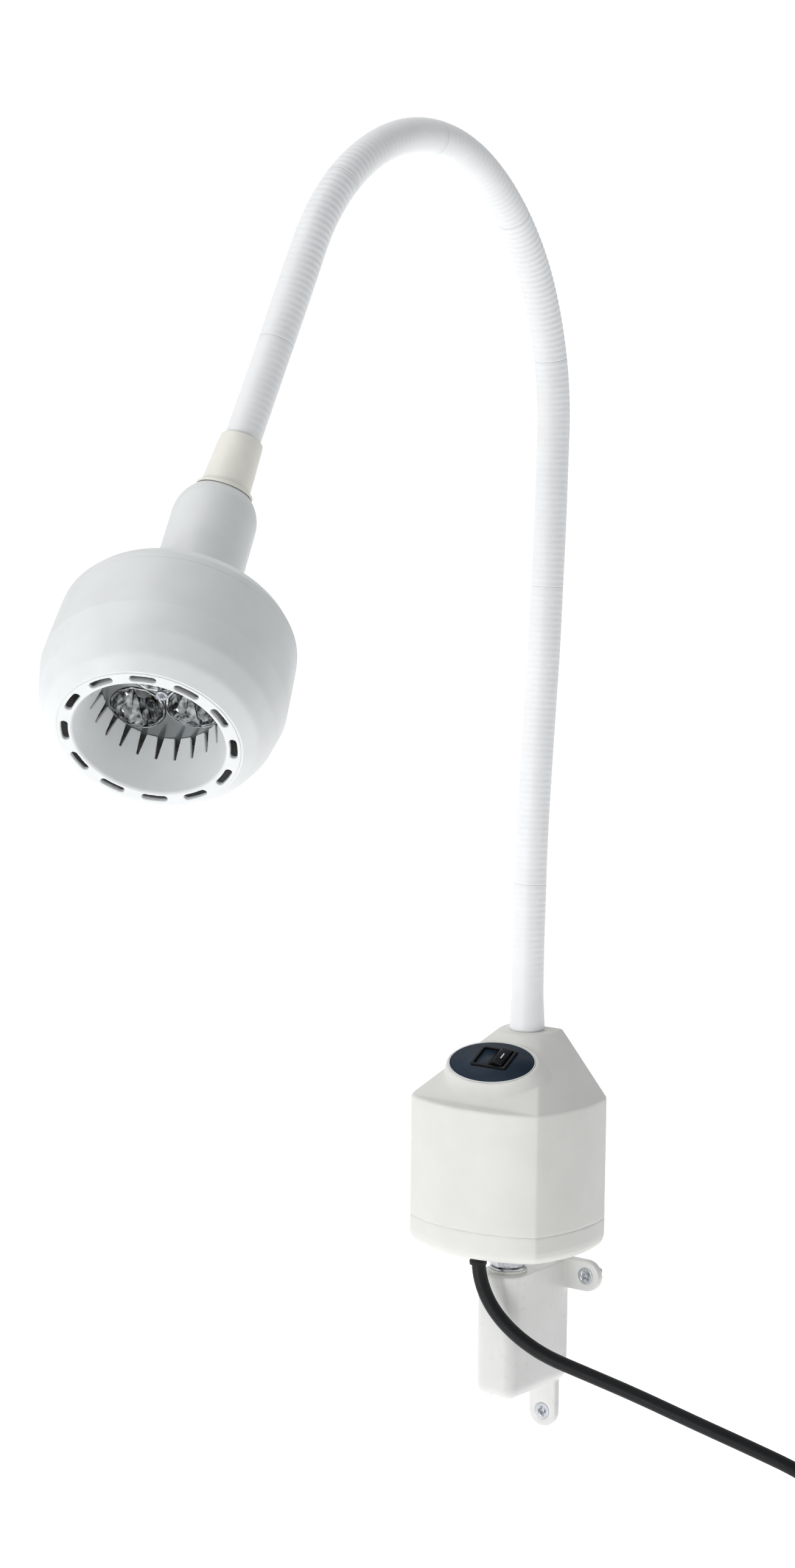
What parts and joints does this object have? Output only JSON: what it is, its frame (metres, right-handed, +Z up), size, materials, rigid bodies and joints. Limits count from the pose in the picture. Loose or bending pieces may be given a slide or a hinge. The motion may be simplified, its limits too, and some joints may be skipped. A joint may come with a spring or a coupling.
{
  "type": "examination lamp",
  "caption": "Wall-mounted examination lamp: bracket, swivelling mains housing with rocker switch, long bendable gooseneck and ball-jointed LED head with vented front ring.",
  "frame": {"origin": "on the wall plane, midway between the two upper wall screws", "axes": "+X to the right seen from the front, +Y into the wall, +Z up"},
  "size_m": [0.3185, 0.3959, 0.7871],
  "materials": {
    "bracket_white": "semi-gloss moulded plastic",
    "zinc_screws": "bright zinc plate",
    "bearing_bush": "natural acetal",
    "steel_hardware": "zinc-plated steel",
    "housing_white": "fine matt texture",
    "switch_plate_blue": "printed dark blue foil, blank",
    "switch_black": "semi-gloss",
    "brass_contacts": "tinned brass",
    "circuit_green": "solder resist",
    "driver_potting": "potting compound",
    "terminal_grey": "polyamide",
    "sleeve_white": "soft white sleeve with fine rings",
    "lead_black": "matt flexible lead jacket",
    "boot_cream": "soft moulded boot",
    "seat_nylon": "natural nylon",
    "head_white": "fine matt paint-like texture",
    "neck_metal": "turned and die-cast",
    "holder_grey": "metallised grey",
    "reflector_chrome": "facetted vacuum-metallised",
    "lens_clear": "clear",
    "led_yellow": "phosphor",
    "led_board_white": "white solder resist"
  },
  "bodies": {
    "bracket": {"wall_bracket": "bracket_white", "wall_screws": "zinc_screws", "pivot_bush": "bearing_bush"},
    "housing": {"pivot_pin": "steel_hardware", "pivot_washer": "steel_hardware", "pivot_nut": "steel_hardware", "pivot_lock_nut": "steel_hardware", "housing_base": "housing_white", "housing_shell": "housing_white", "switch_plate": "switch_plate_blue", "switch_body": "switch_black", "switch_tabs": "brass_contacts", "circuit_board": "circuit_green", "driver_module": "driver_potting", "filter_capacitors": "driver_potting", "terminal_block": "terminal_grey", "base_screws": "zinc_screws", "gooseneck_nipple": "steel_hardware", "gooseneck_locknut": "steel_hardware", "goose_sleeve_1": "sleeve_white", "goose_core_1": "steel_hardware", "mains_cord_coil": "lead_black", "mains_cord": "lead_black", "coil_tie": "lead_black", "mains_plug": "lead_black", "plug_pins": "brass_contacts", "lead_gland": "lead_black"},
    "switch_key": {"rocker": "switch_black"},
    "goose_2": {"goose_sleeve_2": "sleeve_white", "goose_core_2": "steel_hardware"},
    "goose_3": {"goose_sleeve_3": "sleeve_white", "goose_core_3": "steel_hardware"},
    "goose_4": {"goose_sleeve_4": "sleeve_white", "goose_core_4": "steel_hardware"},
    "goose_5": {"goose_sleeve_5": "sleeve_white", "goose_core_5": "steel_hardware"},
    "goose_6": {"goose_sleeve_6": "sleeve_white", "goose_core_6": "steel_hardware"},
    "goose_7": {"goose_sleeve_7": "sleeve_white", "goose_core_7": "steel_hardware", "end_ferrule": "steel_hardware"},
    "ball": {"ball_stud": "steel_hardware", "boot": "boot_cream"},
    "neck": {"neck": "head_white", "ball_seat": "seat_nylon", "friction_cup": "seat_nylon", "spring_washer": "steel_hardware", "neck_ring_nut": "neck_metal", "neck_spigot": "neck_metal"},
    "head": {"front_ring": "head_white", "head_shell": "head_white", "rear_cover": "head_white", "lamp_holder": "holder_grey", "reflector_cups": "reflector_chrome", "lamp_lenses": "lens_clear", "led_chips": "led_yellow", "led_board": "led_board_white", "heat_sink": "neck_metal", "module_screws": "zinc_screws", "lamp_screw": "zinc_screws"}
  },
  "joints": [
    {"name": "swivel", "type": "hinge", "parent": "bracket", "child": "housing", "pos_m": [0, -0.036, 0], "axis": [0, 0, 1], "range_deg": [-15, 15]},
    {"name": "switch_rock", "type": "hinge", "parent": "housing", "child": "switch_key", "pos_m": [0, -0.04994, 0.11363], "axis": [0, 0.8625, 0.506], "range_deg": [0, 24]},
    {"name": "bend_1", "type": "hinge", "parent": "housing", "child": "goose_2", "pos_m": [0, -0.01681, 0.26981], "axis": [1, 0, 0], "range_deg": [-20, 20]},
    {"name": "bend_2_side", "type": "hinge", "parent": "goose_2", "child": "goose_3", "pos_m": [0, -0.00796, 0.41451], "axis": [0, 0.9997, -0.0262], "range_deg": [-20, 20]},
    {"name": "bend_3", "type": "hinge", "parent": "goose_3", "child": "goose_4", "pos_m": [0, -0.02372, 0.4871], "axis": [1, 0, 0], "range_deg": [-25, 8]},
    {"name": "bend_4", "type": "hinge", "parent": "goose_4", "child": "goose_5", "pos_m": [0, -0.07412, 0.54115], "axis": [1, 0, 0], "range_deg": [-25, 8]},
    {"name": "bend_5_side", "type": "hinge", "parent": "goose_5", "child": "goose_6", "pos_m": [0, -0.14655, 0.54876], "axis": [0, -0.309, 0.9511], "range_deg": [-20, 20]},
    {"name": "bend_6", "type": "hinge", "parent": "goose_6", "child": "goose_7", "pos_m": [0, -0.20284, 0.50195], "axis": [1, 0, 0], "range_deg": [-25, 10]},
    {"name": "ball_swivel", "type": "hinge", "parent": "goose_7", "child": "ball", "pos_m": [0, -0.24841, 0.41974], "axis": [0, -0.4924, -0.8704], "range_deg": [-170, 170]},
    {"name": "head_tilt", "type": "hinge", "parent": "ball", "child": "neck", "pos_m": [0, -0.26811, 0.38492], "axis": [0.6945, 0.6262, -0.3543], "range_deg": [-10, 45]},
    {"name": "head_turn", "type": "hinge", "parent": "neck", "child": "head", "pos_m": [0.04044, -0.35871, 0.30405], "axis": [-0.3159, 0.7078, 0.6318], "range_deg": [-170, 170]}
  ]
}
